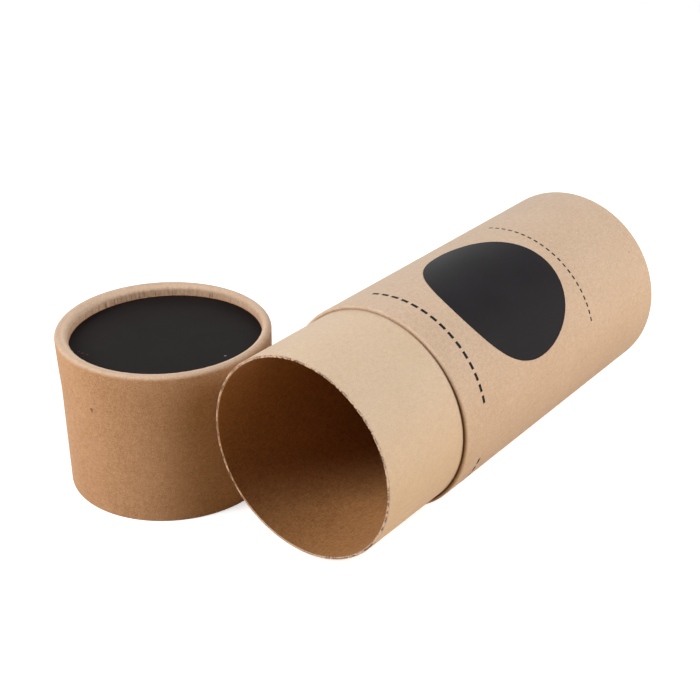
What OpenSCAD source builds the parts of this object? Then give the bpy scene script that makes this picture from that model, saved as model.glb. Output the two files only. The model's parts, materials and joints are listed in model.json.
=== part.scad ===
// Round kraft paper box, opened: the tube lies on its side and the cap stands beside its neck.
// X runs along the tube from mouth to base and +Z is up.
// The origin is on the ground, under the middle of the tube and cap together.

/* [Tube] */
// Outer diameter of the outer tube
tube_d = 80; // [64:1:110]
// Length of the outer tube, from its step at the neck to the crown of the base rim
tube_length = 142.5; // [110:0.5:220]
// Wall of the outer tube
tube_wall = 1.5; // [1:0.1:2]
// Wall of the inner tube
liner_wall = 1; // [0.8:0.1:2]
// Glue line between the inner and outer tubes
glue_line = 0.05; // [0.02:0.01:0.15]
// Length of the inner tube that stands out of the outer tube as a neck
neck_length = 43; // [25:1:60]

/* [Cap] */
// Height of the cap
cap_height = 61.2; // [45:0.1:90]
// Wall of the cap's sleeve
cap_wall = 1.1; // [0.8:0.1:1.8]
// Slip clearance between the cap and the neck, all round
cap_clearance = 0.2; // [0.1:0.05:0.4]
// Distance along the tube from its mouth to the middle of the standing cap
cap_place = 16; // [-40:0.1:80]
// Gap between the standing cap and the tube
cap_gap = 0.3; // [0.3:0.1:20]

/* [Curled rims] */
// Depth of an end disc below the crown of its rim
rim_depth = 4.4; // [3:0.1:8]
// Width of the hollow inside a rim
rim_hollow = 1.5; // [1:0.1:4]
// Radius of the rim's outer corner
rim_corner = 1.6; // [0.5:0.1:1.8]
// Radius of the bend from the crown into the recess
rim_bend = 1.9; // [0.5:0.1:2.2]
// Least width of the flat on a rim's crown
crown_flat = 0.2; // [0.1:0.1:0.6]

/* [End discs] */
// Thickness of the card discs
disc_thickness = 1.2; // [0.6:0.1:2.5]
// How far a disc's edge is pressed into the wall around it
disc_bite = 0.1; // [0.05:0.05:0.3]

/* [Print] */
// Diameter of the black patch, measured round the tube
patch_d = 61; // [20:1:75]
// Distance from the step at the neck to the middle of the patch
patch_place = 53.5; // [40:0.5:60]
// Turn of the patch from the top of the tube towards the side away from the cap
patch_turn = 29; // [-60:1:90]
// Thickness of the printed film
print_film = 0.1; // [0.05:0.05:0.3]

/* [Hidden] */
$fn = 180;
patch_points = 72;
cut_margin = 1;

tube_r = tube_d / 2;
tube_bore_r = tube_r - tube_wall;
liner_r = tube_bore_r - glue_line;
mouth_r = liner_r - liner_wall;
cap_bore_r = liner_r + cap_clearance;
cap_r = cap_bore_r + cap_wall;

// Lengths along the tube, from its mouth
base_end = neck_length + tube_length;
liner_length = base_end - rim_depth - disc_thickness;

// The cap keeps its gap from the neck, and from the outer tube where it reaches past the step.
cap_to_step = max(0, neck_length - cap_place);
cap_half_width_at_step = sqrt(max(0, cap_r * cap_r - cap_to_step * cap_to_step));
cap_offset = cap_gap + max(liner_r + cap_r, tube_r + cap_half_width_at_step);

// The pair is centred over the origin.
low_end = min(0, cap_place - cap_r);
high_end = max(base_end, cap_place + cap_r);
mouth_x = -(low_end + high_end) / 2;
axis_y = -(cap_offset + cap_r - tube_r) / 2;

// Round outline laid on the tube, as seen square on: the arc length round the tube becomes a sine.
function wrapped_circle(d, r) = [
    for (i = [0 : patch_points - 1])
        let (turn = 360 * i / patch_points, arc = d / 2 * sin(turn))
            [d / 2 * cos(turn), r * sin(arc / r * 180 / PI)]
];

// Section of an end disc, whose edge is crowned where it is pressed into the wall around it
module disc_section(r) {
    crown_r = (disc_thickness * disc_thickness / 4 + disc_bite * disc_bite) / (2 * disc_bite);
    square([r - disc_bite, disc_thickness]);
    intersection() {
        translate([r - crown_r, disc_thickness / 2]) circle(r = crown_r);
        translate([r - crown_r, 0]) square([crown_r, disc_thickness]);
    }
}

// Section of the end disc that sits under the rim of a curled tube
module seated_disc_section(r, wall, length) {
    translate([0, length - rim_depth - disc_thickness]) disc_section(r - wall + disc_bite);
}

// Quarter of a disc, on the positive side of both axes
module quarter_section(r) {
    intersection() {
        circle(r = r);
        square(r);
    }
}

// Section between two radii and two levels, with its upper corners rounded
module rounded_top_section(inner_r, outer_r, low, high, inner_corner, outer_corner) {
    width = outer_r - inner_r;
    translate([inner_r, low]) square([width - outer_corner, high - inner_corner - low]);
    translate([inner_r + inner_corner, low]) square([width - inner_corner - outer_corner, high - low]);
    translate([inner_r + inner_corner, low]) square([width - inner_corner, high - outer_corner - low]);
    if (inner_corner > 0)
        translate([inner_r + inner_corner, high - inner_corner]) mirror([1, 0]) quarter_section(inner_corner);
    if (outer_corner > 0)
        translate([outer_r - outer_corner, high - outer_corner]) quarter_section(outer_corner);
}

// Section of a tube whose far edge is curled inwards, down on to its end disc
module curled_section(r, wall, length) {
    width = 2 * wall + rim_hollow;
    bend = min(rim_bend, width - rim_corner - crown_flat);
    lip = r - width;
    disc_level = length - rim_depth;
    difference() {
        union() {
            translate([r - wall, 0]) square([wall, length - rim_corner]);
            rounded_top_section(lip, r, disc_level, length, bend, rim_corner);
        }
        // Hollow of the curl, whose corners keep the wall even
        rounded_top_section(lip + wall, r - wall, disc_level - disc_thickness, length - wall,
                            max(0, bend - wall), max(0, rim_corner - wall));
        seated_disc_section(r, wall, length);
    }
}

module curled_tube(r, wall, length) {
    rotate_extrude() curled_section(r, wall, length);
}

// Disc under the rim of a curled tube of the same radius, wall and length
module end_disc(r, wall, length) {
    rotate_extrude() seated_disc_section(r, wall, length);
}

// Stands its children on the ground where the cap is.
module at_cap() {
    translate([mouth_x + cap_place, axis_y + cap_offset, 0]) children();
}

// Lays its children, drawn upwards from z = 0, along the tube from a point on its axis.
module along_tube(from_mouth) {
    translate([mouth_x + from_mouth, axis_y, tube_r]) rotate([0, 90, 0]) children();
}

module cap_sleeve() {
    color([0.66, 0.47, 0.31]) at_cap() curled_tube(cap_r, cap_wall, cap_height);
}

module cap_disc() {
    color([0.10, 0.09, 0.09]) at_cap() end_disc(cap_r, cap_wall, cap_height);
}

module outer_tube() {
    color([0.76, 0.60, 0.45]) along_tube(neck_length) curled_tube(tube_r, tube_wall, tube_length);
}

module inner_tube() {
    color([0.80, 0.66, 0.48]) along_tube(0) difference() {
        cylinder(r = liner_r, h = liner_length);
        translate([0, 0, -cut_margin]) cylinder(r = mouth_r, h = liner_length + 2 * cut_margin);
    }
}

module base_disc() {
    color([0.74, 0.58, 0.43]) along_tube(neck_length) end_disc(tube_r, tube_wall, tube_length);
}

module black_patch() {
    color([0.10, 0.09, 0.09])
        translate([mouth_x + neck_length + patch_place, axis_y, tube_r])
            rotate([patch_turn, 0, 0])
                intersection() {
                    linear_extrude(height = tube_d) polygon(wrapped_circle(patch_d, tube_r));
                    translate([-patch_d, 0, 0]) rotate([0, 90, 0]) difference() {
                        cylinder(r = tube_r + print_film, h = 2 * patch_d);
                        translate([0, 0, -cut_margin]) cylinder(r = tube_r, h = 2 * (patch_d + cut_margin));
                    }
                }
}

cap_sleeve();
cap_disc();
outer_tube();
inner_tube();
base_disc();
black_patch();
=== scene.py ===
import json
import math

import bpy
import numpy as np
from mathutils import Matrix, Vector


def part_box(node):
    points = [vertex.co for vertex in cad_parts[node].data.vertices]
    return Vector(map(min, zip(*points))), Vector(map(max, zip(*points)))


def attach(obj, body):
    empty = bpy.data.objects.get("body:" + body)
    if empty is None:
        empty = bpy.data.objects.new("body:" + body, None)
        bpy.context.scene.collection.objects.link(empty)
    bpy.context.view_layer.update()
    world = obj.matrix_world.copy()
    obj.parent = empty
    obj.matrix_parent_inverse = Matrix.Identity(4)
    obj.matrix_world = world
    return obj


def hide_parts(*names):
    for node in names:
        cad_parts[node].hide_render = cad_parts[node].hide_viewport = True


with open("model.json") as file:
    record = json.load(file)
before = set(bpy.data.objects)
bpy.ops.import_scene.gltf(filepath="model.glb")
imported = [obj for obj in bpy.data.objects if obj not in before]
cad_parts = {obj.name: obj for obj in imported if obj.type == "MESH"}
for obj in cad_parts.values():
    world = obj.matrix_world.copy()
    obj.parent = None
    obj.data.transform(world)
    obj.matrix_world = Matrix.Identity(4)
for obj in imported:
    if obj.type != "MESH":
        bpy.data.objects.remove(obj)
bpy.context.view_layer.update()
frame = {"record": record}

MM = 0.001

# Sizes and places read from the frame, in metres
cap_low, cap_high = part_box("cap_sleeve")
cap_disc_low, cap_disc_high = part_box("cap_disc")
tube_low, tube_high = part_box("outer_tube")
liner_low, liner_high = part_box("inner_tube")
base_disc_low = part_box("base_disc")[0]
patch_low, patch_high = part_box("black_patch")
bore_r = {m["name"]: m["dims"]["r_mm"] * MM for m in frame["record"]["mounts"] if "r_mm" in m["dims"]}

CAP_X = (cap_low.x + cap_high.x) / 2
CAP_Y = (cap_low.y + cap_high.y) / 2
CAP_R = (cap_high.x - cap_low.x) / 2
CAP_WALL = CAP_R - bore_r["cap_bore"]
CAP_HEIGHT = cap_high.z
RIM_DEPTH = cap_high.z - cap_disc_high.z
DISC_THICKNESS = cap_disc_high.z - cap_disc_low.z

MOUTH_X = liner_low.x
AXIS_Y = (tube_low.y + tube_high.y) / 2
AXIS_Z = (tube_low.z + tube_high.z) / 2
TUBE_R = (tube_high.z - tube_low.z) / 2
STEP = tube_low.x - MOUTH_X
BASE_END = tube_high.x - MOUTH_X
MOUTH_R = bore_r["mouth"]
LINER_R = (liner_high.z - liner_low.z) / 2
LINER_END = liner_high.x - MOUTH_X
PATCH_R = (patch_high.x - patch_low.x) / 2
PATCH_ALONG = (patch_low.x + patch_high.x) / 2 - MOUTH_X

# Sizes of the construction that the frame's boxes don't give
TUBE_WALL = 1.5 * MM
RIM_HOLLOW = 1.5 * MM
RIM_CORNER = 1.6 * MM
RIM_BEND = 1.9 * MM
DISC_BITE = 0.1 * MM
PATCH_TURN = math.radians(29)
FILM = 0.1 * MM

# Camera, matched to the photograph: its place seen from the ground under the mouth, and the way it looks
CAMERA_FROM_MOUTH = Vector((-0.2900, -0.2482, 0.2810))
CAMERA_AHEAD = (0.7889, 0.6145)
CAMERA_HEADING = math.atan2(CAMERA_AHEAD[1], CAMERA_AHEAD[0])
CAMERA_PITCH = math.radians(27.57)
CAMERA_ROLL = math.radians(-0.33)
CAMERA_LENS = 67.82
CAMERA_SENSOR = 36.0
CAMERA_CLIP = (0.01, 20)


def make_camera():
    data = bpy.data.cameras.new("camera")
    data.lens = CAMERA_LENS
    data.sensor_width = CAMERA_SENSOR
    data.clip_start, data.clip_end = CAMERA_CLIP
    camera = bpy.data.objects.new("camera", data)
    bpy.context.scene.collection.objects.link(camera)
    level = math.cos(CAMERA_PITCH)
    ahead = Vector((
        math.cos(CAMERA_HEADING) * level, math.sin(CAMERA_HEADING) * level, -math.sin(CAMERA_PITCH)))
    turn = ahead.to_track_quat("-Z", "Y").to_matrix().to_4x4()
    roll = Matrix.Rotation(CAMERA_ROLL, 4, "Z")
    place = Vector((MOUTH_X, AXIS_Y, 0)) + CAMERA_FROM_MOUTH
    camera.matrix_world = Matrix.Translation(place) @ turn @ roll
    bpy.context.scene.camera = camera


# Places on the cap and on the tube


def smooth_step(value, low, high):
    """0 at low and 1 at high, smooth between."""
    share = np.clip((value - low) / (high - low), 0, 1)
    return share * share * (3 - 2 * share)


# The cap's rolled end is wider than its sleeve, out of round and wider on one side, with its lip off centre
CAP_BORE = CAP_R - CAP_WALL
CAP_LIP = CAP_BORE - CAP_WALL - RIM_HOLLOW
FLARE = 0.75 * MM
FLARE_LEAN = 0.7 * MM
LEAN_TURN = math.radians(-151)
FLARE_OVAL = 0.6 * MM
OVAL_TURN = math.radians(-8)
FLARE_START = CAP_HEIGHT - 23 * MM
FLARE_FULL = CAP_HEIGHT - 3 * MM
LIP_SHIFT = 1.1 * MM
LIP_TURN = math.radians(-100)


def at_cap(radius, angle, height):
    """Points round the cap's axis, flared at its end; the angle runs from +X towards +Y."""
    flare = FLARE + FLARE_LEAN * np.cos(angle - LEAN_TURN) - FLARE_OVAL * np.cos(2 * (angle - OVAL_TURN))
    lip = LIP_SHIFT * np.cos(angle - LIP_TURN)
    turned_in = np.clip((CAP_BORE - radius) / (CAP_BORE - CAP_LIP), 0, 1)
    growth = np.where(radius < CAP_LIP, lip * radius / CAP_LIP, flare + (lip - flare) * turned_in)
    radius = radius + growth * smooth_step(height, FLARE_START, FLARE_FULL)
    return np.stack(np.broadcast_arrays(
        CAP_X + radius * np.cos(angle), CAP_Y + radius * np.sin(angle), height), axis=-1)


def at_tube(radius, angle, along):
    """Points round the tube's axis; the angle runs from the top towards the side away from the cap."""
    return np.stack(np.broadcast_arrays(
        MOUTH_X + along, AXIS_Y - radius * np.sin(angle), AXIS_Z + radius * np.cos(angle)), axis=-1)


# Outlines of turned pieces


class Outline:
    """Outline of a turned piece, walked with the material on the left; each point has its surface's name."""

    def __init__(self):
        self.points = []
        self.surfaces = []

    def add(self, radius, height, surface):
        self.points.append((radius, height))
        self.surfaces.append(surface)

    def line(self, start, end, shares, surface):
        """Points at these shares of the way from start to end."""
        for share in shares:
            radius = start[0] + (end[0] - start[0]) * share
            height = start[1] + (end[1] - start[1]) * share
            self.add(radius, height, surface)

    def arc(self, centre, radius, first, last, count, surface):
        """Points on an arc between two angles in degrees, without its ends."""
        for k in range(1, count + 1):
            turn = math.radians(first + (last - first) * k / (count + 1))
            self.add(centre[0] + radius * math.cos(turn), centre[1] + radius * math.sin(turn), surface)

    def arrays(self):
        points = np.array(self.points)
        return points[:, 0], points[:, 1], np.array(self.surfaces)


def even(count):
    """Shares of a line for this many points, its end left out."""
    return [k / count for k in range(count)]


# Rows close to a raw edge, by their distance from it
EDGE_ROWS = (0.1 * MM, 0.3 * MM, 0.7 * MM, 1.5 * MM, 3.0 * MM)


def shares_from_start(length, count):
    """Shares of a line with close rows at its start, and even ones after."""
    close = [row / length for row in EDGE_ROWS]
    return close + [close[-1] + (1 - close[-1]) * (k + 1) / (count + 1) for k in range(count)]


PLY_GROOVE = 0.08 * MM
PLY_SLOPE_SHARE = 0.15
EDGE_ARC = 3


def raw_edge(outline, inner_r, outer_r, plies, corner):
    """End face of a wound wall at height 0: plies with shallow grooves between them, and a round corner."""
    flat_r = outer_r - corner
    for k in range(plies):
        inner = inner_r + (flat_r - inner_r) * k / plies
        outer = inner_r + (flat_r - inner_r) * (k + 1) / plies
        slope = (outer - inner) * PLY_SLOPE_SHARE
        if k:
            outline.add(inner, PLY_GROOVE, "edge")
        outline.add(inner + (slope if k else 0), 0, "edge")
        outline.add(outer - (slope if k < plies - 1 else 0), 0, "edge")
    outline.arc((flat_r, corner), corner, -90, 0, EDGE_ARC, "corner")
    outline.add(outer_r, corner, "outside")


# Points on each stretch of a curled outline
WALL_ROWS = 5
CORNER_ARC = 7
CROWN_ROWS = 2
BEND_ARC = 10
LIP_ROWS = 9
TUCK_ROWS = 2
HOLLOW_ARC = 3


def curled_outline(r, wall, length, plies, corner):
    """Wall from its raw edge at height 0 to an edge that is curled inwards and down on to the end disc."""
    lip = r - 2 * wall - RIM_HOLLOW
    disc_level = length - RIM_DEPTH
    seat_level = disc_level - DISC_THICKNESS
    wall_top = length - RIM_CORNER
    crown_in = lip + RIM_BEND
    crown_out = r - RIM_CORNER
    outline = Outline()
    raw_edge(outline, r - wall, r, plies, corner)
    outline.line((r, corner), (r, wall_top), shares_from_start(wall_top - corner, WALL_ROWS), "outside")
    outline.add(r, wall_top, "crown")
    outline.arc((crown_out, wall_top), RIM_CORNER, 0, 90, CORNER_ARC, "crown")
    outline.line((crown_out, length), (crown_in, length), even(CROWN_ROWS), "crown")
    outline.add(crown_in, length, "crown")
    outline.arc((crown_in, length - RIM_BEND), RIM_BEND, 90, 180, BEND_ARC, "crown")
    outline.line((lip, length - RIM_BEND), (lip, disc_level), even(LIP_ROWS), "crown")
    outline.line((lip, disc_level), (lip + wall, disc_level), even(TUCK_ROWS), "tuck")

    hollow_bend = max(0, RIM_BEND - wall)
    hollow_corner = max(0, RIM_CORNER - wall)
    hollow_top = length - wall
    bend_centre = (lip + wall + hollow_bend, hollow_top - hollow_bend)
    corner_centre = (r - wall - hollow_corner, hollow_top - hollow_corner)
    outline.add(lip + wall, disc_level, "hollow")
    outline.add(lip + wall, bend_centre[1], "hollow")
    outline.arc(bend_centre, hollow_bend, 180, 90, HOLLOW_ARC, "hollow")
    outline.add(bend_centre[0], hollow_top, "hollow")
    outline.add(corner_centre[0], hollow_top, "hollow")
    outline.arc(corner_centre, hollow_corner, 90, 0, HOLLOW_ARC, "hollow")
    outline.add(r - wall, corner_centre[1], "hollow")
    outline.add(r - wall, disc_level, "hollow")
    outline.add(r - wall + DISC_BITE, (disc_level + seat_level) / 2, "hollow")
    bore = shares_from_start(seat_level, WALL_ROWS)
    outline.line((r - wall, 0), (r - wall, seat_level), [1] + bore[::-1], "bore")
    return outline


def outward(radius, height):
    """Unit normals of a closed outline, away from the material."""
    along_r = np.roll(radius, -1) - np.roll(radius, 1)
    along_h = np.roll(height, -1) - np.roll(height, 1)
    size = np.hypot(along_r, along_h)
    return along_h / size, -along_r / size


# Meshes

SHARP_ANGLE = math.radians(40)
ON_AXIS = 1e-9


def angles(steps):
    return np.linspace(-math.pi, math.pi, steps, endpoint=False)


def add_mesh(name, points, faces, marks):
    """A shaded object from points and faces, with each mark kept as a number per point."""
    mesh = bpy.data.meshes.new(name)
    mesh.from_pydata(points.tolist(), [], faces)
    mesh.validate()
    for mark, values in marks.items():
        attribute = mesh.attributes.new(mark, "FLOAT", "POINT")
        attribute.data.foreach_set("value", np.asarray(values, np.float32).ravel())
    mesh.polygons.foreach_set("use_smooth", [True] * len(mesh.polygons))
    mesh.set_sharp_from_angle(angle=SHARP_ANGLE)
    piece = bpy.data.objects.new(name, mesh)
    bpy.context.scene.collection.objects.link(piece)
    return piece


def turned(name, place, radius, angle, height, marks):
    """Closed mesh from grids of radius and height, with one row per point of the outline and one column
    per angle. A first or last row on the axis is closed with a fan."""
    rows, steps = radius.shape
    points = place(radius, angle[None, :], height)
    on_axis = [bool(np.all(radius[row] < ON_AXIS)) for row in range(rows)]
    index = np.zeros((rows, steps), int)
    kept = []
    for row in range(rows):
        count = 1 if on_axis[row] else steps
        index[row] = len(kept) + (0 if on_axis[row] else np.arange(steps))
        kept += [(row, column) for column in range(count)]
    pick = tuple(np.array(kept).T)
    closed = not (on_axis[0] or on_axis[-1])
    faces = []
    for row in range(rows if closed else rows - 1):
        here, there = index[row], index[(row + 1) % rows]
        corners = np.stack([here, np.roll(here, -1), np.roll(there, -1), there], axis=1)
        if on_axis[row]:
            corners = corners[:, 1:]
        elif on_axis[(row + 1) % rows]:
            corners = corners[:, :3]
        faces += corners.tolist()
    picked = {mark: np.broadcast_to(values, (rows, steps))[pick] for mark, values in marks.items()}
    return add_mesh(name, points[pick], faces, picked)


def by_surface(surface, shares, shape):
    """A mark with each surface's share, 0 on the rest, for a grid of this shape."""
    row = sum(share * (surface == name) for name, share in shares.items())
    return np.broadcast_to(row.astype(float)[:, None], shape)


# Irregularities of the paper; ranges of random values are shares of the size that is given


def turn_gap(angle, places):
    """Signed turn from each place to each angle, the short way round."""
    return (angle[:, None] - places[None, :] + math.pi) % (2 * math.pi) - math.pi


def wander(angle, rng, orders, size):
    """A smooth closed wave of random phase with this many orders, about this size."""
    phases = rng.uniform(0, 2 * math.pi, orders)
    return sum(size / (k + 1) * np.cos((k + 2) * angle + phases[k]) for k in range(orders))


NICK_DEPTHS = (0.2, 1.0)
NICK_WIDTHS = (0.5, 1.5)
NICK_SKEW = 1.5


def nicks(angle, rng, count, radius, depth, width):
    """Depth of small nicks at random places round an edge, at each angle."""
    places = rng.uniform(-math.pi, math.pi, count)
    depths = depth * rng.uniform(*NICK_DEPTHS, count) ** NICK_SKEW
    widths = width * rng.uniform(*NICK_WIDTHS, count) / radius
    return (depths * np.exp(-(turn_gap(angle, places) / widths) ** 2)).max(axis=1)


CREASE_SCATTER = 0.8
CREASE_DEPTHS = (0.15, 1.0)
CREASE_WIDTHS = (0.6, 1.5)
CREASE_SKEW = 1.3
CREASE_GROWTH = 0.25
CREASE_LEAN = 0.7 * MM


def creases(angle, reach, rng, radius, count, depth, width, start):
    """Depth of creases that run over the rim: reach is 0 on its outer corner and 1 at its lip."""
    scatter = rng.uniform(-CREASE_SCATTER, CREASE_SCATTER, count)
    places = (np.arange(count) + scatter) * 2 * math.pi / count
    depths = depth * rng.uniform(*CREASE_DEPTHS, count) ** CREASE_SKEW
    widths = width * rng.uniform(*CREASE_WIDTHS, count) / radius
    starts = rng.uniform(start[0], start[1], count)
    leans = rng.normal(0, CREASE_LEAN, count) / radius
    result = np.zeros((len(reach), len(angle)))
    for row, share in enumerate(reach):
        if share > start[0]:
            gap = turn_gap(angle, places + leans * share)
            grown = depths * smooth_step(share, starts, starts + CREASE_GROWTH)
            result[row] = (grown * np.exp(-(gap / widths) ** 2)).max(axis=1)
    return result


SEAM_STEP = 0.12 * MM
SEAM_FADE = 9.0 * MM
SEAM_EDGE = 0.25 * MM


def wrap_seam(angle, seam_angle, radius):
    """Height of the overlap where the outer sheet ends, which fades away behind it."""
    past = turn_gap(angle, np.array([seam_angle]))[:, 0] * radius
    behind = np.clip(1 + past / SEAM_FADE, 0, 1) * (past <= 0)
    drop = np.clip(1 - past / SEAM_EDGE, 0, 1) * (past > 0)
    return SEAM_STEP * (behind + drop)


# Raw edges
EDGE_FUZZ = 0.04 * MM
EDGE_REACH = 0.5 * MM
FOOT_NICKS = 60
NICK_WIDTH = 0.26 * MM
# Depth of a nick at which its painted shade is full
PIT_DEPTH = 0.3 * MM
RAW_CORNER_FADE = 8

# Gathers of a curled rim, with the strength of the painted shade in them; their stretches are shares of the
# way from its outer corner to its lip
FINE_CREASES = 380
FINE_DEPTH = 0.11 * MM
FINE_WIDTH = 0.20 * MM
FINE_START = (0.42, 0.66)
FINE_SHADE = 0.35
DEEP_CREASES = 95
DEEP_DEPTH = 0.25 * MM
DEEP_WIDTH = 0.20 * MM
DEEP_START = (0.62, 0.84)
DEEP_SHADE = 0.8
PUFF = 0.10 * MM
PUFF_STRETCH = (0.3, 0.9)
PUFF_WAVES = 24
PUFF_ORDERS = 5
PUFF_SWING = 0.5
SEAM_END = (0, 0.15)

# Marks of a curled rim, on the same stretches: painted shade at its foot, a painted highlight, and a crown
# lighter for wear and painted light
LIP_FOOT = (0.93, 1.0)
FOOT_SHADE = 0.5
HIGHLIGHT_START = (0.33, 0.42)
HIGHLIGHT_END = (0.50, 0.60)
# The painted highlight lies on the side of the rim towards the camera.
HIGHLIGHT_TURN = math.radians(-142)
HIGHLIGHT_SPREAD = (-0.5, 0.3)
WEAR_AND_LIGHT_START = (0.0, 0.2)
WEAR_AND_LIGHT_FADE = (0.5, 0.9)
WEAR_AND_LIGHT_LOSS = 0.45


def curled_piece(name, place, r, wall, length, plies, corner, nick_depth, steps, seed, seam_angle, edge_shade):
    """A wound tube with a raw edge and a curled, gathered rim; the function that is given sets the raw
    edge's painted shade at each angle.
    """
    rng = np.random.default_rng(seed)
    radius, height, surface = curled_outline(r, wall, length, plies, corner).arrays()
    angle = angles(steps)
    normal_r, normal_h = outward(radius, height)
    lip = r - 2 * wall - RIM_HOLLOW

    crown = surface == "crown"
    walked = np.concatenate([[0], np.cumsum(np.hypot(np.diff(radius), np.diff(height)))])
    reach = np.where(crown, (walked - walked[crown].min()) / np.ptp(walked[crown]), 0)
    fine = creases(angle, reach, rng, lip, FINE_CREASES, FINE_DEPTH, FINE_WIDTH, FINE_START)
    deep = creases(angle, reach, rng, lip, DEEP_CREASES, DEEP_DEPTH, DEEP_WIDTH, DEEP_START)
    swing = wander(PUFF_WAVES * angle, rng, PUFF_ORDERS, PUFF_SWING) - PUFF_SWING
    puff = PUFF * smooth_step(reach, *PUFF_STRETCH)[:, None] * swing[None, :]
    lift = np.where(crown[:, None], puff - fine - deep, 0)

    seam_share = np.where((surface == "outside") | crown, 1 - smooth_step(reach, *SEAM_END), 0)
    lift = lift + seam_share[:, None] * wrap_seam(angle, seam_angle, r)[None, :]

    at_edge = np.isin(surface, ("outside", "edge", "corner", "bore"))
    near_edge = np.exp(-height / EDGE_REACH) * at_edge
    bite = nicks(angle, rng, FOOT_NICKS, r, nick_depth, NICK_WIDTH)
    fuzz = EDGE_FUZZ * rng.random(steps)
    grid_r = radius[:, None] + normal_r[:, None] * lift
    grid_h = height[:, None] + normal_h[:, None] * lift + near_edge[:, None] * (bite + fuzz)[None, :]

    corner_share = np.where(surface == "corner", np.clip(1 - RAW_CORNER_FADE * height / corner, 0, 1), 0)
    raw = by_surface(surface, {"edge": 1.0}, grid_r.shape) + corner_share[:, None]
    # Painted shade in the creases, at the lip's foot and on the tuck under it
    foot_shade = smooth_step(reach, *LIP_FOOT)[:, None]
    tuck = by_surface(surface, {"tuck": 1.0}, grid_r.shape)
    fold_shade = FINE_SHADE * fine / FINE_DEPTH + DEEP_SHADE * deep / DEEP_DEPTH + FOOT_SHADE * foot_shade + tuck
    # A painted highlight: a pale line on the inner bend, on the side towards the camera
    painted_highlight = crown * smooth_step(reach, *HIGHLIGHT_START) * (1 - smooth_step(reach, *HIGHLIGHT_END))
    highlight_side = smooth_step(np.cos(angle - HIGHLIGHT_TURN), *HIGHLIGHT_SPREAD)
    # The crown's lighter colour: partly wear, partly painted light from above
    worn_and_lit = crown * smooth_step(reach, *WEAR_AND_LIGHT_START) * (1 - WEAR_AND_LIGHT_LOSS * smooth_step(reach, *WEAR_AND_LIGHT_FADE))
    marks = {
        # The raw board's share, times the painted shade that the edge's function gives at each angle
        "raw": raw * edge_shade(angle)[None, :],
        # Painted shade in the nicks
        "pit_shade": np.clip(near_edge[:, None] * bite[None, :] / PIT_DEPTH, 0, 1),
        "crease_shade": np.clip(fold_shade, 0, 1),
        "inside": by_surface(surface, {"bore": 1.0, "hollow": 1.0}, grid_r.shape),
        "painted_highlight": painted_highlight[:, None] * highlight_side[None, :],
        "rub_and_light": worn_and_lit[:, None],
    }
    return turned(name, place, grid_r, angle, grid_h, marks)


CAP_PLIES = 3
CAP_STEPS = 1260
CAP_SEED = 11
CAP_SEAM = math.radians(75)
FOOT_CORNER = 0.2 * MM
FOOT_NICK = 0.15 * MM


# The cap's raw edge has no painted shade: the same all round.
def even_edge_shade(angle):
    return np.ones_like(angle)


def make_cap_sleeve():
    return curled_piece(
        "cap_sleeve_paper", at_cap, CAP_R, CAP_WALL, CAP_HEIGHT,
        plies=CAP_PLIES, corner=FOOT_CORNER, nick_depth=FOOT_NICK,
        steps=CAP_STEPS, seed=CAP_SEED, seam_angle=CAP_SEAM, edge_shade=even_edge_shade)


TUBE_PLIES = 4
TUBE_STEPS = 960
TUBE_SEED = 23
TUBE_SEAM = math.radians(-140)
STEP_CORNER = 1.05 * MM
STEP_NICK = 0.03 * MM
# Painted shade on the step's edge: its share of the dark edge colour on top, and the angles over which it
# grows to full
STEP_TOP_SHADE = 0.45
STEP_SHADE_TURNS = (math.radians(-10), math.radians(75))


def step_edge_shade(angle):
    """Painted shade on the step's edge: lighter on top and darker round to the side away from the cap."""
    return STEP_TOP_SHADE + (1 - STEP_TOP_SHADE) * smooth_step(angle, *STEP_SHADE_TURNS)


def from_step(radius, angle, height):
    """Points round the tube's axis, by their distance from the step at the neck."""
    return at_tube(radius, angle, STEP + height)


def make_outer_tube():
    return curled_piece(
        "outer_tube_paper", from_step, TUBE_R, TUBE_WALL, BASE_END - STEP,
        plies=TUBE_PLIES, corner=STEP_CORNER, nick_depth=STEP_NICK,
        steps=TUBE_STEPS, seed=TUBE_SEED, seam_angle=TUBE_SEAM, edge_shade=step_edge_shade)


LINER_STEPS = 1800
LINER_SEED = 31
LINER_ROWS = 6
BORE_ROWS = 8
MOUTH_ARC = 2
MOUTH_CORNER = 0.12 * MM
INNER_PLY = 0.42 * MM

# Nicks in the mouth's edge, deep on the inner ply and shallow on the outer one
MOUTH_NICKS = 340
MOUTH_NICK = 0.7 * MM
OUTER_NICK = MOUTH_NICK / 3
MOUTH_NICK_WIDTH = 0.17 * MM
# Strength of the painted shade of nicks on each surface of the mouth's edge
MOUTH_PIT_SHADE = {"edge": 1.0, "split": 1.0, "inner_ply": 1.0, "outside": 0.3}

# Splits between the plies of the mouth's edge
SPLITS = 80
SPLIT_WIDTH = 0.24 * MM
SPLIT_SLOPE = 0.05 * MM
SPLIT_DEPTH = 0.5 * MM
SPLIT_LENGTH = (0.6 * MM, 2.6 * MM)
SPLIT_FADE = 0.15 * MM
SPLIT_WEAR = (0.4, 0.8)

# Stretches of the mouth where its edge is worn most: middle angle and half width in degrees
WORN_STRETCHES = ((0, 14), (55, 30), (115, 22), (150, 16))
LEAST_WEAR = 0.55

# The inner ply's edge shows raw board as the rest does; on the side towards the cap the edge has painted
# shade: the inner ply takes the inside's colour and the rest is darkened unevenly
UNSHADED_TURN = math.radians(90)
UNSHADED_SPREAD = (-0.8, -0.3)
CAP_SIDE_SHADE = 0.75
CAP_SIDE_SHADE_WAVES = 12
CAP_SIDE_SHADE_ORDERS = 5
CAP_SIDE_SHADE_SWING = 0.5


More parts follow.
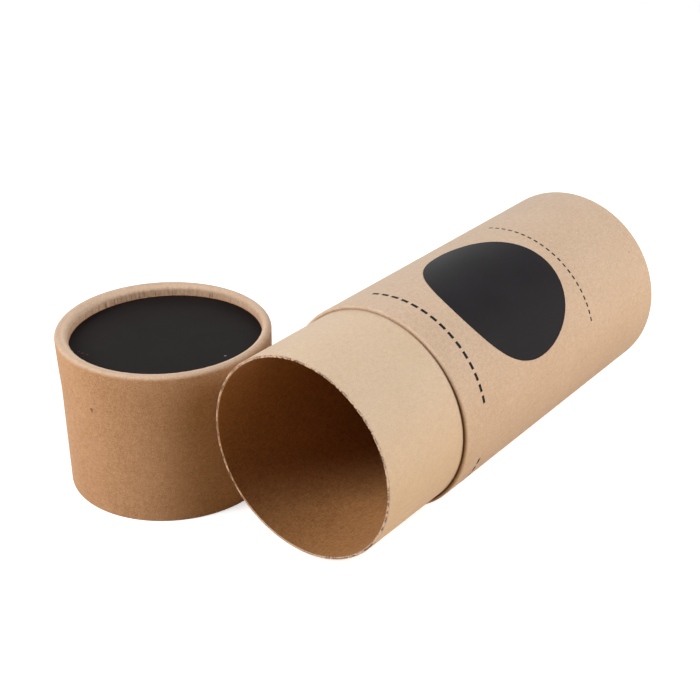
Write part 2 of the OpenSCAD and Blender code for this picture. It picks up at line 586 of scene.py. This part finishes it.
def mouth_wear(angle):
    """How worn the mouth's edge is at each angle, from LEAST_WEAR to 1."""
    worn_and_lit = np.zeros_like(angle)
    for middle, half in WORN_STRETCHES:
        gap = turn_gap(angle, np.array([math.radians(middle)]))[:, 0] / math.radians(half)
        worn_and_lit = np.maximum(worn_and_lit, np.exp(-gap ** 2))
    return LEAST_WEAR + (1 - LEAST_WEAR) * worn_and_lit


def splits(angle, rng, count, radius, length):
    """How far an edge's plies are parted at each angle, 0 to 1, on stretches at random places."""
    places = rng.uniform(-math.pi, math.pi, count)
    halves = rng.uniform(length[0], length[1], count) / 2 / radius
    fade = SPLIT_FADE / radius
    return smooth_step(halves - np.abs(turn_gap(angle, places)), -fade, fade).max(axis=1)


def liner_outline():
    """Wall of the inner tube: the plies of its mouth at height 0, its outside, its far end and its bore."""
    split_in = MOUTH_R + INNER_PLY
    split_out = split_in + SPLIT_WIDTH
    flat_r = LINER_R - MOUTH_CORNER
    outline = Outline()
    outline.add(MOUTH_R, 0, "inner_ply")
    outline.add(split_in - SPLIT_SLOPE, 0, "inner_ply")
    outline.add(split_in, 0, "split")
    outline.add(split_out, 0, "split")
    outline.add(split_out + SPLIT_SLOPE, 0, "edge")
    outline.add(flat_r, 0, "edge")
    outline.arc((flat_r, MOUTH_CORNER), MOUTH_CORNER, -90, 0, MOUTH_ARC, "edge")
    outline.add(LINER_R, MOUTH_CORNER, "outside")
    wall = shares_from_start(LINER_END, LINER_ROWS)
    outline.line((LINER_R, MOUTH_CORNER), (LINER_R, LINER_END), wall, "outside")
    outline.add(LINER_R, LINER_END, "outside")
    bore = shares_from_start(LINER_END, BORE_ROWS)
    outline.line((MOUTH_R, 0), (MOUTH_R, LINER_END), [1] + bore[::-1], "bore")
    return outline


def make_inner_tube():
    """The inner tube, whose sawn mouth is nicked and has its plies come apart here and there."""
    rng = np.random.default_rng(LINER_SEED)
    radius, height, surface = liner_outline().arrays()
    angle = angles(LINER_STEPS)

    wear = mouth_wear(angle)
    outer_bite = wear * nicks(angle, rng, MOUTH_NICKS, LINER_R, OUTER_NICK, MOUTH_NICK_WIDTH)
    inner_bite = wear * nicks(angle, rng, MOUTH_NICKS, MOUTH_R, MOUTH_NICK, MOUTH_NICK_WIDTH)
    fuzz = EDGE_FUZZ * rng.random(LINER_STEPS)
    share_out = ((radius - MOUTH_R) / (LINER_R - MOUTH_R))[:, None]
    bite = outer_bite * share_out ** 3 + inner_bite * (1 - share_out) ** 2
    near_edge = np.exp(-height / EDGE_REACH)[:, None]
    opened = splits(angle, rng, SPLITS, MOUTH_R + INNER_PLY, SPLIT_LENGTH) * smooth_step(wear, *SPLIT_WEAR)
    parted = (surface == "split")[:, None] * opened[None, :]
    grid_h = height[:, None] + near_edge * (bite + fuzz) + SPLIT_DEPTH * parted
    grid_r = np.broadcast_to(radius[:, None], grid_h.shape)

    pit_shaded = by_surface(surface, MOUTH_PIT_SHADE, grid_h.shape)
    # Painted shade on the side towards the cap: the inner ply takes the inside's colour, and the edge is
    # darkened unevenly
    unshaded = smooth_step(np.cos(angle - UNSHADED_TURN), *UNSHADED_SPREAD)[None, :]
    inner_ply = by_surface(surface, {"inner_ply": 1.0}, grid_h.shape)
    uneven = np.clip(CAP_SIDE_SHADE_SWING + wander(CAP_SIDE_SHADE_WAVES * angle, rng, CAP_SIDE_SHADE_ORDERS, CAP_SIDE_SHADE_SWING), 0, 1)[None, :]
    shade_towards_cap = CAP_SIDE_SHADE * (1 - unshaded) * uneven * by_surface(surface, {"edge": 1.0, "split": 1.0}, grid_h.shape)
    marks = {
        "raw": by_surface(surface, {"edge": 1.0, "split": 0.5}, grid_h.shape) + inner_ply * unshaded,
        # Painted shade in nicks and open splits, and on the edge towards the cap
        "pit_shade": np.clip(near_edge * bite / PIT_DEPTH * pit_shaded + parted + shade_towards_cap, 0, 1),
        # The inside's colour, also on the inner ply towards the cap, where it is painted shade
        "inside": by_surface(surface, {"bore": 1.0}, grid_h.shape) + inner_ply * (1 - unshaded),
    }
    return turned("inner_tube_paper", at_tube, grid_r, angle, grid_h, marks)


DISC_STEPS = 240
DISC_RINGS = 16
DISC_DISH = 0.18 * MM
DISC_WARP = 0.05 * MM
WARP_ORDERS = 4
CAP_DISC_SEED = 51
BASE_DISC_SEED = 53


def make_disc(name, place, r, low, seed):
    """A die-cut card disc, a little dished and warped, with a crowned edge."""
    rng = np.random.default_rng(seed)
    high = low + DISC_THICKNESS
    flat_r = r - DISC_BITE
    outline = Outline()
    outline.line((0, low), (flat_r, low), even(DISC_RINGS), "back")
    outline.add(flat_r, low, "back")
    outline.add(r, (low + high) / 2, "edge")
    outline.add(flat_r, high, "face")
    outline.line((0, high), (flat_r, high), even(DISC_RINGS)[::-1], "face")
    radius, height, surface = outline.arrays()
    angle = angles(DISC_STEPS)
    share = (radius / r)[:, None]
    # The warp is 0 in the middle and at the edge, and full between them.
    warp = DISC_WARP * share ** 2 * (1 - share ** 2) * 4 * wander(angle, rng, WARP_ORDERS, 1.0)[None, :]
    sink = np.broadcast_to(DISC_DISH * (1 - share ** 2), warp.shape)
    grid_h = height[:, None] - sink - np.abs(warp)
    grid_r = np.broadcast_to(radius[:, None], grid_h.shape)
    marks = {"back": by_surface(surface, {"back": 1.0}, grid_h.shape)}
    return turned(name, place, grid_r, angle, grid_h, marks)


PATCH_SPOKES = 240
PATCH_RINGS = 20
PATCH_SEED = 43
INK_WAVER = 0.06 * MM


def make_patch():
    """A round field of ink on the tube: a thin film whose outline wavers a little."""
    rng = np.random.default_rng(PATCH_SEED)
    spoke = angles(PATCH_SPOKES)
    reach = PATCH_R - INK_WAVER * rng.random(PATCH_SPOKES)
    shares = np.array([(k + 1) / PATCH_RINGS for k in range(PATCH_RINGS)])
    along = shares[:, None] * (reach * np.cos(spoke))[None, :]
    arc = shares[:, None] * (reach * np.sin(spoke))[None, :]
    points = [at_tube(TUBE_R + FILM, PATCH_TURN, PATCH_ALONG).tolist()]
    points += at_tube(TUBE_R + FILM, PATCH_TURN + arc / TUBE_R, PATCH_ALONG + along).reshape(-1, 3).tolist()
    bottom = len(points)
    points += at_tube(TUBE_R, PATCH_TURN + arc / TUBE_R, PATCH_ALONG + along).reshape(-1, 3).tolist()
    last = len(points)
    points.append(at_tube(TUBE_R, PATCH_TURN, PATCH_ALONG).tolist())
    top_ring = [1 + ring * PATCH_SPOKES + np.arange(PATCH_SPOKES) for ring in range(PATCH_RINGS)]
    low_ring = [bottom + ring * PATCH_SPOKES + np.arange(PATCH_SPOKES) for ring in range(PATCH_RINGS)]
    strips = list(zip(top_ring, top_ring[1:])) + [(top_ring[-1], low_ring[-1])]
    strips += [(low_ring[k + 1], low_ring[k]) for k in reversed(range(PATCH_RINGS - 1))]
    faces = []
    for inner, outer in strips:
        faces += np.stack([inner, np.roll(inner, -1), np.roll(outer, -1), outer], axis=1).tolist()
    faces += [[0, int(b), int(a)] for a, b in zip(top_ring[0], np.roll(top_ring[0], -1))]
    faces += [[last, int(a), int(b)] for a, b in zip(low_ring[0], np.roll(low_ring[0], -1))]
    return add_mesh("black_patch_ink", np.array(points), faces, {})


# Plain dashed rules printed round the tube: distance from the mouth, first and last angle, dash, gap, width
RULES = (
    (55.5 * MM, math.radians(-15), math.radians(78), 2.8 * MM, 1.5 * MM, 1.3 * MM),
    (55.5 * MM, math.radians(109), math.radians(202), 2.8 * MM, 1.5 * MM, 1.3 * MM),
    (133.5 * MM, math.radians(-15), math.radians(78), 1.7 * MM, 1.3 * MM, 0.8 * MM),
)
RULE_FILM = 0.05 * MM
DASH_PARTS = 4

# Section of a dash, as the side of its middle line and the height above the paper
DASH_SECTION = ((-1, 0), (-1, RULE_FILM), (1, RULE_FILM), (1, 0))


def make_rules():
    points = []
    faces = []
    ring = len(DASH_SECTION)
    for along, first, last, dash, gap, width in RULES:
        count = int((last - first) * TUBE_R / (dash + gap))
        for k in range(count):
            start = first + k * (dash + gap) / TUBE_R
            base = len(points)
            for part in range(DASH_PARTS + 1):
                angle = start + dash / TUBE_R * part / DASH_PARTS
                for side, film in DASH_SECTION:
                    points.append(list(at_tube(TUBE_R + film, angle, along + side * width / 2)))
            for part in range(DASH_PARTS):
                here = base + ring * part
                for corner in range(ring):
                    across = (corner + 1) % ring
                    faces.append([here + corner, here + ring + corner, here + ring + across, here + across])
            end = base + ring * DASH_PARTS
            faces.append([base + corner for corner in range(ring)])
            faces.append([end + corner for corner in reversed(range(ring))])
    return add_mesh("printed_rules", np.array(points), faces, {})


# Materials, which read these marks: raw board, painted shade in pits and creases, inside, painted highlight,
# rub and painted light, back of a disc

FLECK_WOBBLE = 0.6
FLECK_WOBBLE_SCALE = 1.2
FLECK_CORE = 0.4
SPOT_SCALE = 2.4
SPOT_RAGGED = 0.9
SPOT_EDGE = (1.5, 0.9)


class Nodes:
    """Node tree of one material, with short ways to add and join nodes. Its coordinates are millimetres."""

    def __init__(self, name):
        self.material = bpy.data.materials.new(name)
        self.material.use_nodes = True
        self.tree = self.material.node_tree
        self.shader = self.tree.nodes["Principled BSDF"]
        place = self.add("ShaderNodeTexCoord").outputs["Object"]
        self.place = self.vector("SCALE", place, scale=1 / MM)

    def add(self, kind, **values):
        node = self.tree.nodes.new(kind)
        for name, value in values.items():
            setattr(node, name, value)
        return node

    def join(self, value, socket):
        """Links a socket's output to an input, or sets the input to a plain value."""
        if isinstance(value, bpy.types.NodeSocket):
            self.tree.links.new(value, socket)
        else:
            socket.default_value = value

    def vector(self, operation, first, second=None, scale=None):
        node = self.add("ShaderNodeVectorMath", operation=operation)
        self.join(first, node.inputs[0])
        if second is not None:
            self.join(second, node.inputs[1])
        if scale is not None:
            self.join(scale, node.inputs["Scale"])
        return node.outputs["Value" if operation == "DISTANCE" else "Vector"]

    def math(self, operation, first, second=0.0, third=0.0, clamp=False):
        node = self.add("ShaderNodeMath", operation=operation, use_clamp=clamp)
        for value, socket in zip((first, second, third), node.inputs):
            self.join(value, socket)
        return node.outputs[0]

    def between(self, value, low, high):
        """A number that goes from low to high as the value goes from 0 to 1."""
        return self.math("MULTIPLY_ADD", value, high - low, low)

    def noise(self, scale, detail=2.0, roughness=0.5, stretch=None, turn=(0, 0, 0)):
        """Noise of about 1 / scale millimetres, drawn out along the axes where stretch is small."""
        place = self.place
        if stretch:
            mapping = self.add("ShaderNodeMapping")
            self.join(place, mapping.inputs["Vector"])
            mapping.inputs["Rotation"].default_value = turn
            mapping.inputs["Scale"].default_value = stretch
            place = mapping.outputs["Vector"]
        node = self.add("ShaderNodeTexNoise")
        self.join(place, node.inputs["Vector"])
        node.inputs["Scale"].default_value = scale
        node.inputs["Detail"].default_value = detail
        node.inputs["Roughness"].default_value = roughness
        return node.outputs[0]

    def noise_colour(self, scale):
        node = self.add("ShaderNodeTexNoise")
        self.join(self.place, node.inputs["Vector"])
        node.inputs["Scale"].default_value = scale
        return node.outputs["Color"]

    def flecks(self, scale, size, share):
        """Round flecks of about this size in millimetres, in this share of a grid's cells of 1 / scale."""
        node = self.add("ShaderNodeTexVoronoi")
        wobble = self.vector("SCALE", self.noise_colour(FLECK_WOBBLE_SCALE), scale=FLECK_WOBBLE)
        self.join(self.vector("ADD", self.place, wobble), node.inputs["Vector"])
        node.inputs["Scale"].default_value = scale
        near = self.ramp(node.outputs["Distance"], size * scale, size * scale * FLECK_CORE)
        parts = self.add("ShaderNodeSeparateColor")
        self.join(node.outputs["Color"], parts.inputs[0])
        chosen = self.math("LESS_THAN", parts.outputs[0], share)
        return self.math("MULTIPLY", near, chosen)

    def ramp(self, value, low, high):
        """0 at low and 1 at high, smooth between."""
        node = self.add("ShaderNodeMapRange", interpolation_type="SMOOTHSTEP")
        self.join(value, node.inputs["Value"])
        node.inputs["From Min"].default_value = low
        node.inputs["From Max"].default_value = high
        return node.outputs["Result"]

    def spot(self, centre, size):
        """A mark of this size round a point of the piece, both in millimetres, with a ragged edge."""
        away = self.vector("DISTANCE", self.place, tuple(centre))
        ragged = self.math("MULTIPLY_ADD", self.noise(SPOT_SCALE, detail=1.0), size * SPOT_RAGGED, away)
        return self.ramp(ragged, size * SPOT_EDGE[0], size * SPOT_EDGE[1])

    def mark(self, name):
        node = self.add("ShaderNodeAttribute", attribute_name=name)
        return node.outputs["Fac"]

    def mix(self, factor, first, second):
        node = self.add("ShaderNodeMix", data_type="RGBA")
        self.join(factor, node.inputs["Factor"])
        self.join(first, [s for s in node.inputs if s.name == "A" and s.type == "RGBA"][0])
        self.join(second, [s for s in node.inputs if s.name == "B" and s.type == "RGBA"][0])
        return [s for s in node.outputs if s.type == "RGBA"][0]

    def cover(self, shade, cover, strength, colour):
        """The shade with a colour over it where cover is 1, at this strength."""
        return self.mix(self.math("MULTIPLY", cover, strength), shade, colour)

    def total(self, *weighted):
        """0.5 plus each value's distance from 0.5, times its weight, kept between 0 and 1."""
        level = 0.5
        for value, weight in weighted:
            centred = self.math("SUBTRACT", value, 0.5)
            level = self.math("MULTIPLY_ADD", centred, weight, level)
        return self.math("MULTIPLY", level, 1.0, clamp=True)

    def bump(self, height, strength, distance):
        node = self.add("ShaderNodeBump")
        self.join(height, node.inputs["Height"])
        node.inputs["Strength"].default_value = strength
        node.inputs["Distance"].default_value = distance
        self.join(node.outputs["Normal"], self.shader.inputs["Normal"])

    def finish(self, colour, roughness, specular, sheen):
        self.join(colour, self.shader.inputs["Base Color"])
        self.join(roughness, self.shader.inputs["Roughness"])
        self.shader.inputs["Specular IOR Level"].default_value = specular
        self.shader.inputs["Sheen Weight"].default_value = sheen
        return self.material


# How much more than red a kraft colour's green and blue change as it gets lighter or darker
WARMTH = (1.0, 1.35, 1.8)


def tone(colour, change):
    """A kraft colour made lighter or darker, with its fourth number; the darker, the warmer it is."""
    return tuple(min(1.0, c * (1 + change * warm)) for c, warm in zip(colour, WARMTH)) + (1.0,)


def grey(colour, factor):
    """A colour made lighter or darker without a change of hue, with its fourth number."""
    return tuple(min(1.0, c * factor) for c in colour) + (1.0,)


# Colours of the papers, and how far each varies
CAP_KRAFT = (0.42, 0.240, 0.130)
CAP_CONTRAST = 0.27
# Lighter colour of the rim's crown: partly wear, partly painted light from above
RIM_KRAFT = (0.575, 0.405, 0.285)
RIM_CONTRAST = 0.14
TUBE_KRAFT = (0.615, 0.444, 0.311)
TUBE_CONTRAST = 0.14
LINER_KRAFT = (0.648, 0.480, 0.326)
LINER_CONTRAST = 0.10
LINING = (0.355, 0.159, 0.046)
LINING_CONTRAST = 0.40
RAW_BOARD = (0.42, 0.27, 0.16)
BOARD_CONTRAST = 0.2
# Dark brown of the step's edge; painted shade sets how much of it shows at each angle
STEP_BOARD = (0.10, 0.034, 0.010)
MOUTH_BOARD = (0.56, 0.41, 0.305)

# Marks on the papers: colour, or how much lighter than the paper, and strength
# A painted highlight: how much lighter than the crown's colour, and its strength
HIGHLIGHT_LIFT = 1.4
HIGHLIGHT_STRENGTH = 0.6
# Painted shade in nicks and splits: colour and strength
PIT_SHADE_BROWN = (0.07, 0.025, 0.010, 1)
PIT_SHADE_STRENGTH = 0.9
# Painted shade in creases and at the rim's foot: colour and strength
CREASE_SHADE_BROWN = (0.25, 0.095, 0.038, 1)
CREASE_SHADE_STRENGTH = 0.6
SPECK_BROWN = (0.12, 0.05, 0.02, 1)
DARK_FLECK_STRENGTH = 0.25
SPOT_STRENGTH = 0.85
LIGHT_FLECK_LIFT = 1.35
LIGHT_FLECK_STRENGTH = 0.20

# Surface of the papers
KRAFT_ROUGHNESS = (0.55, 0.80)
KRAFT_SHEEN = 0.06
CAP_GLOSS = 0.25
TUBE_GLOSS = 0.35
LINER_GLOSS = 0.6


def kraft(name, paper, worn_and_lit, lining, raw, contrast, gloss, spots=()):
    """Kraft paper: cloudy tone, fine grain, fibres and flecks, with raw edges, painted shade in pits and
    creases, a painted highlight, and rubs with painted light.
    """
    nodes = Nodes(name)
    cloud = nodes.noise(scale=0.05)
    mottle = nodes.noise(scale=0.6)
    grain = nodes.noise(scale=2.4, roughness=0.6)
    fibre = nodes.noise(scale=1.6, roughness=0.6, stretch=(0.25, 1.6, 1.6), turn=(0.2, 0.5, 0.3))
    cross_fibre = nodes.noise(scale=1.6, roughness=0.6, stretch=(1.6, 0.3, 1.2), turn=(0.6, 0.1, 1.1))
    level = nodes.total((cloud, 0.35), (mottle, 0.6), (grain, 1.5), (fibre, 0.7), (cross_fibre, 0.7))

    shade = nodes.mix(level, tone(paper, -contrast), tone(paper, contrast))
    # The crown's lighter colour: partly wear, partly painted light from above
    worn_and_lit_shade = nodes.mix(level, tone(worn_and_lit, -RIM_CONTRAST), tone(worn_and_lit, RIM_CONTRAST))
    shade = nodes.mix(nodes.mark("rub_and_light"), shade, worn_and_lit_shade)
    # A painted highlight on the rim's inner bend
    shade = nodes.cover(shade, nodes.mark("painted_highlight"), HIGHLIGHT_STRENGTH, grey(worn_and_lit, HIGHLIGHT_LIFT))
    lining_shade = nodes.mix(level, tone(lining, -LINING_CONTRAST), tone(lining, LINING_CONTRAST))
    shade = nodes.mix(nodes.mark("inside"), shade, lining_shade)
    dark_flecks = nodes.flecks(scale=0.30, size=0.20, share=0.20)
    shade = nodes.cover(shade, dark_flecks, DARK_FLECK_STRENGTH, SPECK_BROWN)
    light_flecks = nodes.flecks(scale=0.42, size=0.22, share=0.20)
    shade = nodes.cover(shade, light_flecks, LIGHT_FLECK_STRENGTH, grey(paper, LIGHT_FLECK_LIFT))
    for centre, size in spots:
        shade = nodes.cover(shade, nodes.spot(centre, size), SPOT_STRENGTH, SPECK_BROWN)
    raw_shade = nodes.mix(level, tone(raw, -contrast), tone(raw, contrast))
    shade = nodes.mix(nodes.mark("raw"), shade, raw_shade)
    # Painted shade in creases and at the rim's foot
    shade = nodes.cover(shade, nodes.mark("crease_shade"), CREASE_SHADE_STRENGTH, CREASE_SHADE_BROWN)
    # Painted shade in nicks and splits, and on the mouth's edge towards the cap
    shade = nodes.cover(shade, nodes.mark("pit_shade"), PIT_SHADE_STRENGTH, PIT_SHADE_BROWN)

    relief = nodes.total((grain, 1.0), (fibre, 0.8), (cross_fibre, 0.8), (mottle, 0.4))
    nodes.bump(relief, strength=0.2, distance=0.1 * MM)
    return nodes.finish(shade, nodes.between(grain, *KRAFT_ROUGHNESS), gloss, KRAFT_SHEEN)


# Black card and ink: colour, how far it varies, the marks on it, and its surface
BLACK = (0.010, 0.0080, 0.0078)
INK = (0.014, 0.0125, 0.014)
BLACK_TONES = (0.75, 1.25)
SPECK_GREY = (0.30, 0.27, 0.26, 1)
SPECK_STRENGTH = 0.7
SCUFF_BROWN = (0.16, 0.07, 0.05, 1)
SCUFF_STRENGTH = 0.35
CARD_ROUGHNESS = (0.42, 0.67)
CARD_SPECULAR = 0.03
INK_ROUGHNESS = (0.45, 0.70)
INK_SPECULAR = 0.07


def black_card(name, colour, back, specks, scuffs):
    """Black printed card with a soft sheen, a few rubs and specks; its back is bare board."""
    nodes = Nodes(name)
    cloud = nodes.noise(scale=0.04)
    grain = nodes.noise(scale=2.0, detail=3.0, roughness=0.7)
    level = nodes.total((cloud, 1.2), (grain, 0.6))
    shade = nodes.mix(level, *(grey(colour, factor) for factor in BLACK_TONES))
    for centre, size in specks:
        shade = nodes.cover(shade, nodes.spot(centre, size), SPECK_STRENGTH, SPECK_GREY)
    for centre, size in scuffs:
        shade = nodes.cover(shade, nodes.spot(centre, size), SCUFF_STRENGTH, SCUFF_BROWN)
    board = nodes.mix(grain, tone(back, -BOARD_CONTRAST), tone(back, BOARD_CONTRAST))
    shade = nodes.mix(nodes.mark("back"), shade, board)
    nodes.bump(grain, strength=0.15, distance=0.06 * MM)
    return nodes.finish(shade, nodes.between(grain, *CARD_ROUGHNESS), CARD_SPECULAR, sheen=0.0)


def black_ink(name, colour):
    """Black ink on paper: the paper's grain shows a little in its tone and gloss."""
    nodes = Nodes(name)
    cloud = nodes.noise(scale=0.06, detail=3.0)
    grain = nodes.noise(scale=2.4, detail=3.0, roughness=0.7)
    level = nodes.total((cloud, 1.2), (grain, 0.8))
    shade = nodes.mix(level, *(grey(colour, factor) for factor in BLACK_TONES))
    nodes.bump(grain, strength=0.2, distance=0.06 * MM)
    return nodes.finish(shade, nodes.between(grain, *INK_ROUGHNESS), INK_SPECULAR, sheen=0.0)


# Specks and scuffs that the photograph shows: angle in degrees, place and size in millimetres


def cap_point(angle, height):
    return at_cap(CAP_R, math.radians(angle), height * MM) / MM


def disc_point(angle, radius):
    return at_cap(radius * MM, math.radians(angle), cap_disc_high.z) / MM


def tube_point(angle, along):
    return at_tube(TUBE_R, math.radians(angle), along * MM) / MM


CAP_SPOTS = (
    (cap_point(-177.6, 43.6), 0.85),
    (cap_point(-177.2, 42.7), 0.45),
    (cap_point(-166.9, 39.6), 0.25),
    (cap_point(-121.4, 37.6), 0.30),
)
TUBE_SPOTS = ((tube_point(52.1, 175.7), 0.35),)
DISC_SPECKS = ((disc_point(-86.3, 28.4), 0.6),)
DISC_SCUFFS = (
    (disc_point(154.1, 31.9), 0.8),
    (disc_point(151.0, 32.9), 0.6),
    (disc_point(157.5, 30.6), 0.6),
)


# The whole object


def dress(piece, body, slot, material, *nodes):
    piece.data.materials.append(material)
    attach(piece, body)
    if nodes:
        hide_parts(*nodes)


def make_object():
    cap_paper = kraft(
        "cap_kraft", CAP_KRAFT, RIM_KRAFT, LINING, RAW_BOARD, CAP_CONTRAST, CAP_GLOSS, CAP_SPOTS)
    tube_paper = kraft(
        "tube_kraft", TUBE_KRAFT, TUBE_KRAFT, LINING, STEP_BOARD, TUBE_CONTRAST, TUBE_GLOSS, TUBE_SPOTS)
    liner_paper = kraft(
        "liner_kraft", LINER_KRAFT, LINER_KRAFT, LINING, MOUTH_BOARD, LINER_CONTRAST, LINER_GLOSS)
    card = black_card("black_card", BLACK, RAW_BOARD, DISC_SPECKS, DISC_SCUFFS)
    ink = black_ink("black_ink", INK)

    dress(make_cap_sleeve(), "cap", "kraft_cap", cap_paper, "cap_sleeve")
    disc_r = CAP_R - CAP_WALL + DISC_BITE
    cap_disc = make_disc("cap_disc_card", at_cap, disc_r, cap_disc_low.z, CAP_DISC_SEED)
    dress(cap_disc, "cap", "black_card", card, "cap_disc")
    dress(make_outer_tube(), "tube", "kraft_tube", tube_paper, "outer_tube")
    dress(make_inner_tube(), "tube", "kraft_liner", liner_paper, "inner_tube")
    base_r = TUBE_R - TUBE_WALL + DISC_BITE
    base_disc = make_disc("base_disc_card", at_tube, base_r, base_disc_low.x - MOUTH_X, BASE_DISC_SEED)
    dress(base_disc, "tube", "kraft_tube", tube_paper, "base_disc")
    dress(make_patch(), "tube", "black_print", ink, "black_patch")
    dress(make_rules(), "tube", "black_print", ink)


# Stage and light

WHITE = (1, 1, 1, 1)
FLOOR_HALF = 0.75
FLOOR_DROP = 0.1 * MM

# The floor's colour as seen, that of the light it sends back, and the glow that makes it look white
FLOOR_SEEN = (0.74, 0.74, 0.74, 1)
FLOOR_BOUNCE = (0.62, 0.40, 0.14, 1)
FLOOR_GLOW = 0.64

# Strength of the world's light on the object; where the world is seen, it is white.
WORLD_LIGHT = 0.04
WORLD_SEEN = 1.0

# Name, place seen from the object in camera terms (right, ahead, up), size in metres, power in watts
LAMPS = (
    ("key_softbox", (-0.85, -0.35, 0.52), 0.5, 11.7),
    ("right_softbox", (0.84, -0.27, 0.55), 0.7, 9.4),
    ("back_softbox", (0.00, 1.00, 0.25), 0.7, 1.5),
)


def seen_rays(nodes):
    """1 for rays from the camera, or from it by a gloss or through glass; 0 for the rest."""
    path = nodes.new("ShaderNodeLightPath")
    result = path.outputs["Is Camera Ray"]
    for ray in ("Is Glossy Ray", "Is Transmission Ray"):
        larger = nodes.new("ShaderNodeMath")
        larger.operation = "MAXIMUM"
        nodes.id_data.links.new(result, larger.inputs[0])
        nodes.id_data.links.new(path.outputs[ray], larger.inputs[1])
        result = larger.outputs[0]
    return result


def floor_material():
    material = bpy.data.materials.new("floor")
    material.use_nodes = True
    nodes = material.node_tree.nodes
    links = material.node_tree.links
    nodes.clear()
    seen = seen_rays(nodes)
    diffuse = nodes.new("ShaderNodeBsdfDiffuse")
    colour = nodes.new("ShaderNodeMixRGB")
    colour.inputs["Color1"].default_value = FLOOR_BOUNCE
    colour.inputs["Color2"].default_value = FLOOR_SEEN
    links.new(seen, colour.inputs["Fac"])
    links.new(colour.outputs["Color"], diffuse.inputs["Color"])
    glow = nodes.new("ShaderNodeEmission")
    glow.inputs["Color"].default_value = WHITE
    strength = nodes.new("ShaderNodeMath")
    strength.operation = "MULTIPLY"
    strength.inputs[1].default_value = FLOOR_GLOW
    links.new(seen, strength.inputs[0])
    links.new(strength.outputs[0], glow.inputs["Strength"])
    both = nodes.new("ShaderNodeAddShader")
    links.new(diffuse.outputs[0], both.inputs[0])
    links.new(glow.outputs[0], both.inputs[1])
    output = nodes.new("ShaderNodeOutputMaterial")
    links.new(both.outputs[0], output.inputs["Surface"])
    return material


def make_floor():
    corners = ((-1, -1), (1, -1), (1, 1), (-1, 1))
    points = [(x * FLOOR_HALF, y * FLOOR_HALF, -FLOOR_DROP) for x, y in corners]
    mesh = bpy.data.meshes.new("floor")
    mesh.from_pydata(points, [], [range(len(points))])
    mesh.materials.append(floor_material())
    floor = bpy.data.objects.new("floor", mesh)
    bpy.context.scene.collection.objects.link(floor)


def make_world():
    world = bpy.data.worlds.new("studio")
    world.use_nodes = True
    nodes = world.node_tree.nodes
    links = world.node_tree.links
    background = nodes["Background"]
    background.inputs["Color"].default_value = WHITE
    strength = nodes.new("ShaderNodeMapRange")
    strength.inputs["To Min"].default_value = WORLD_LIGHT
    strength.inputs["To Max"].default_value = WORLD_SEEN
    links.new(seen_rays(nodes), strength.inputs["Value"])
    links.new(strength.outputs["Result"], background.inputs["Strength"])
    bpy.context.scene.world = world


def make_lamps():
    ahead = Vector((math.cos(CAMERA_HEADING), math.sin(CAMERA_HEADING), 0))
    right = Vector((math.sin(CAMERA_HEADING), -math.cos(CAMERA_HEADING), 0))
    centre = Vector((0, 0, AXIS_Z))
    for name, (to_right, to_ahead, up), size, power in LAMPS:
        data = bpy.data.lights.new(name, "AREA")
        data.shape = "DISK"
        data.size = size
        data.energy = power
        lamp = bpy.data.objects.new(name, data)
        bpy.context.scene.collection.objects.link(lamp)
        lamp.location = centre + right * to_right + ahead * to_ahead + Vector((0, 0, up))
        lamp.rotation_mode = "QUATERNION"
        lamp.rotation_quaternion = (centre - lamp.location).to_track_quat("-Z", "Y")


make_camera()
make_object()
make_floor()
make_world()
make_lamps()
bpy.context.scene.view_settings.view_transform = "Standard"

bpy.context.view_layer.update()
